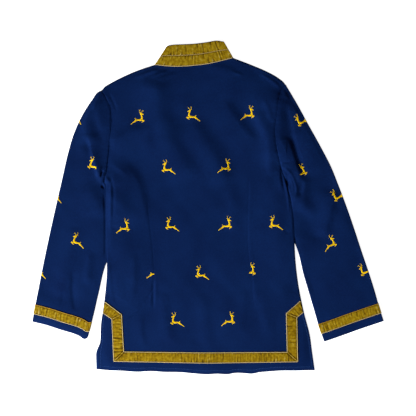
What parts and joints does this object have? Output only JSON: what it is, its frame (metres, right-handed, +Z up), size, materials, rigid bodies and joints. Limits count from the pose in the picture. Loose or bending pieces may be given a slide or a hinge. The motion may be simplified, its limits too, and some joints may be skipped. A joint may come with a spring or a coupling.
{
  "type": "blouse",
  "caption": "Long-sleeved navy tunic blouse laid flat, back up, with a stand collar, side vents and velvet ribbon at collar, cuffs and hem.",
  "frame": {"origin": "middle of the blouse's footprint, on the surface that it lies on", "axes": "+X across the back towards the wearer's right, +Y from the hem to the collar, +Z up from the surface, out of the wearer's back"},
  "size_m": [0.7918, 0.7512, 0.008],
  "materials": {
    "navy_cotton": "plain-woven cotton, matt, navy",
    "olive_gold_velvet": "crinkled velvet ribbon, olive gold"
  },
  "bodies": {
    "root": {"front": "navy_cotton", "back": "navy_cotton", "sleeve_left": "navy_cotton", "sleeve_right": "navy_cotton", "collar": "navy_cotton", "collar_ribbon_upper": "olive_gold_velvet", "collar_ribbon_lower": "olive_gold_velvet", "cuff_ribbon_left": "olive_gold_velvet", "cuff_ribbon_right": "olive_gold_velvet", "hem_ribbon_back": "olive_gold_velvet", "hem_ribbon_front": "olive_gold_velvet"}
  },
  "joints": []
}
